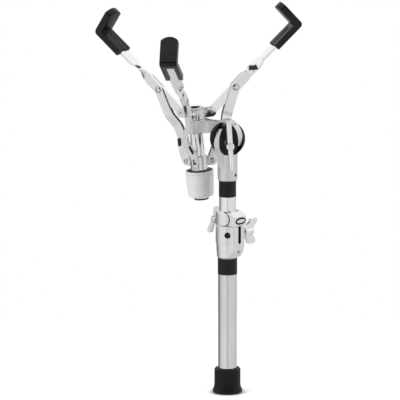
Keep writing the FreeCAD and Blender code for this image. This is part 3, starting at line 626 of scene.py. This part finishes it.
def makeShadowRings(side):
    mesh = nodes["arm_rivet_" + side].data
    sideways = sidewaysOf(side)
    reach = [vertex.co.dot(sideways) for vertex in mesh.vertices]
    ends = []
    for limit in (min(reach), max(reach)):
        pairs = zip(mesh.vertices, reach)
        near = [vertex.co for vertex, far in pairs if abs(far - limit) < ringSet["end"]]
        ends.append(sum(near, Vector()) / len(near))
    axis = (ends[1] - ends[0]).normalized()
    for name, end, out in (("near", ends[0], -axis), ("far", ends[1], axis)):
        bpy.ops.object.select_all(action="DESELECT")
        bpy.ops.mesh.primitive_torus_add(
            major_segments=ringSet["turns"], minor_segments=ringSet["sides"],
            major_radius=ringSet["radius"], minor_radius=ringSet["wire"])
        ring = nameAdded("rivetShadowRing_" + side + "_" + name)
        ring.rotation_euler = out.to_track_quat("Z", "Y").to_euler()
        ring.location = end - out * ringSet["head"]
        bpy.ops.object.shade_smooth()
        # the ring's dark steel is painted shade
        finishPiece(ring, "darkSteel", "arm_" + side)


for side in sides:
    makeShadowRings(side)
print("rivet rings made")

# black strip over the mouth of the clamp's slot: a painted shadow, a dark sheet standing in for the shade
# inside the slot
slotSet = {
    "deep": 0.0006, "wide": 0.0058, "high": 0.0252, "proud": 0.0002, "drop": 0.0003,
    "round": 0.0001, "steps": 2, "corner": 60, "smooth": 40,
}


def makeSlotShadeStrip():
    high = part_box("height_clamp")[1]
    bpy.ops.object.select_all(action="DESELECT")
    bpy.ops.mesh.primitive_cube_add(size=1)
    strip = nameAdded("slotShadeStrip")
    strip.scale = (slotSet["deep"], slotSet["wide"], slotSet["high"])
    outward = high.x + slotSet["proud"] - slotSet["deep"] / 2
    upward = high.z - slotSet["drop"] - slotSet["high"] / 2
    strip.location = (outward, 0, upward)
    applyPlace()
    roundPiece(strip, slotSet)
    finishPiece(strip, "deepBlack", "lower_pole")


makeSlotShadeStrip()
print("slot strip made")

# full grips over the two bars of the T-handle
gripSet = {
    "upper": (0.0043, 0.0039), "lower": (0.0039, 0.0035),     # radii at the root and at the end
    "start": 0.004, "tip": 0.0029, "cover": 0.0011,           # root, end radius of the bar, cover past it
    "turns": 48, "round": 0.0018, "steps": 4, "corner": 60, "smooth": 45,
}


def makeGrip(name, start, end, radii):
    step = end - start
    bpy.ops.object.select_all(action="DESELECT")
    bpy.ops.mesh.primitive_cone_add(
        vertices=gripSet["turns"], radius1=radii[0], radius2=radii[1], depth=step.length)
    grip = nameAdded(name)
    roundPiece(grip, gripSet)
    grip.rotation_euler = step.to_track_quat("Z", "Y").to_euler()
    grip.location = (start + end) / 2
    finishPiece(grip, finishOf("tilter_handle"), "tilter_handle")


def makeGrips():
    spots = [vertex.co for vertex in nodes["tilter_handle"].data.vertices]
    rise = Vector((0, 0, gripSet["tip"]))
    top = max(spots, key=lambda spot: spot.z) - rise
    bottom = min(spots, key=lambda spot: spot.z) + rise
    middle = (top + bottom) / 2
    along = (top - bottom).normalized()
    reach = (top - middle).length + gripSet["tip"] + gripSet["cover"]
    for name, way in (("upper", along), ("lower", -along)):
        start = middle + way * gripSet["start"]
        makeGrip("handleGrip_" + name, start, middle + way * reach, gripSet[name])


makeGrips()
print("handle grips made")

# raised lip of the knob, round its black insert
lipSet = {
    "drop": 0.0003, "wall": 0.0023, "flare": 0.0002,
    "turns": 96, "round": 0.0007, "steps": 3, "corner": 60, "smooth": 40,
}


def makeLip():
    joints = frame["record"]["behaviour"]["joints"]
    joint = next(row for row in joints if row["name"] == "knob_turn")
    axis = Vector(joint["axis"])
    spot = Vector(joint["pos_m"])
    cup = [vertex.co - spot for vertex in nodes["knob_cup"].data.vertices]
    insert = [vertex.co - spot for vertex in nodes["knob_insert"].data.vertices]
    low = max(place.dot(axis) for place in cup)
    high = max(place.dot(axis) for place in insert) - lipSet["drop"]
    radius = max((place - axis * place.dot(axis)).length for place in cup)
    bpy.ops.object.select_all(action="DESELECT")
    bpy.ops.mesh.primitive_cone_add(
        vertices=lipSet["turns"], radius1=radius, radius2=radius + lipSet["flare"],
        depth=high - low, end_fill_type="NOTHING")
    lip = nameAdded("knobLip")
    wall = lip.modifiers.new("lipWall", "SOLIDIFY")
    wall.thickness = lipSet["wall"]
    wall.offset = -1          # all of the wall inside the cup's radius
    bpy.ops.object.modifier_apply(modifier="lipWall")
    roundPiece(lip, lipSet)
    lip.rotation_euler = axis.to_track_quat("Z", "Y").to_euler()
    lip.location = spot + axis * ((low + high) / 2)
    finishPiece(lip, "knobGrey", "knob")


makeLip()
print("knob lip made")

# rubber pads on the flank of each strut, at its outer edge
padSet = {
    "long": 0.0125, "rise": 0.0018,           # along the strut
    "flank": (0.0022, 0.0041), "inward": (-0.0002, 0.0060),   # start and end, from the CAD pad's place
    "inset": 0.0009, "crown": 0.0003,
    "digits": 2, "square": 0.1, "sideways": 0.3,              # for sorting the CAD pad's faces
    "round": 0.0006, "steps": 2, "corner": 60, "smooth": 40,
}


def padFrame(mesh, side):
    # the CAD pad's own directions, from the sizes of its flat faces
    areas = {}
    for face in mesh.polygons:
        key = tuple(round(part, padSet["digits"]) for part in face.normal)
        areas[key] = areas.get(key, 0) + face.area
    inward = Vector(max(areas, key=areas.get)).normalized()
    sideways = sidewaysOf(side)
    level = [key for key in areas if abs(Vector(key).dot(inward)) < padSet["square"]]
    flanks = [key for key in level if Vector(key).dot(sideways) > padSet["sideways"]]
    flank = Vector(max(flanks, key=areas.get))
    flank = (flank - inward * flank.dot(inward)).normalized()
    along = flank.cross(inward)
    spot = Vector((0, 0, 0))
    # the middle of the CAD pad, on its inner face
    for axis, share in ((along, 0.5), (flank, 0.5), (inward, 1.0)):
        reach = [vertex.co.dot(axis) for vertex in mesh.vertices]
        spot += axis * (min(reach) + (max(reach) - min(reach)) * share)
    return spot, along, flank, inward


def makePad(side):
    mesh = nodes["strut_bumper_" + side].data
    spot, along, flank, inward = padFrame(mesh, side)
    bpy.ops.object.select_all(action="DESELECT")
    bpy.ops.mesh.primitive_cube_add(size=1)
    pad = nameAdded("strutPad_" + side)
    wide = padSet["flank"][1] - padSet["flank"][0]
    deep = padSet["inward"][1] - padSet["inward"][0]
    pad.scale = (padSet["long"], wide, deep)
    pad.location = (padSet["rise"], sum(padSet["flank"]) / 2, sum(padSet["inward"]) / 2)
    applyPlace()
    insetFaces(pad, Vector((0, 1, 0)), padSet["inset"], padSet["crown"])
    roundPiece(pad, padSet)
    turn = Matrix((along, flank, inward)).transposed().to_4x4()
    pad.matrix_world = Matrix.Translation(spot) @ turn
    finishPiece(pad, "blackMoulding", "strut_" + side)
    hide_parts("strut_bumper_" + side)


for side in sides:
    makePad(side)
print("strut pads made")
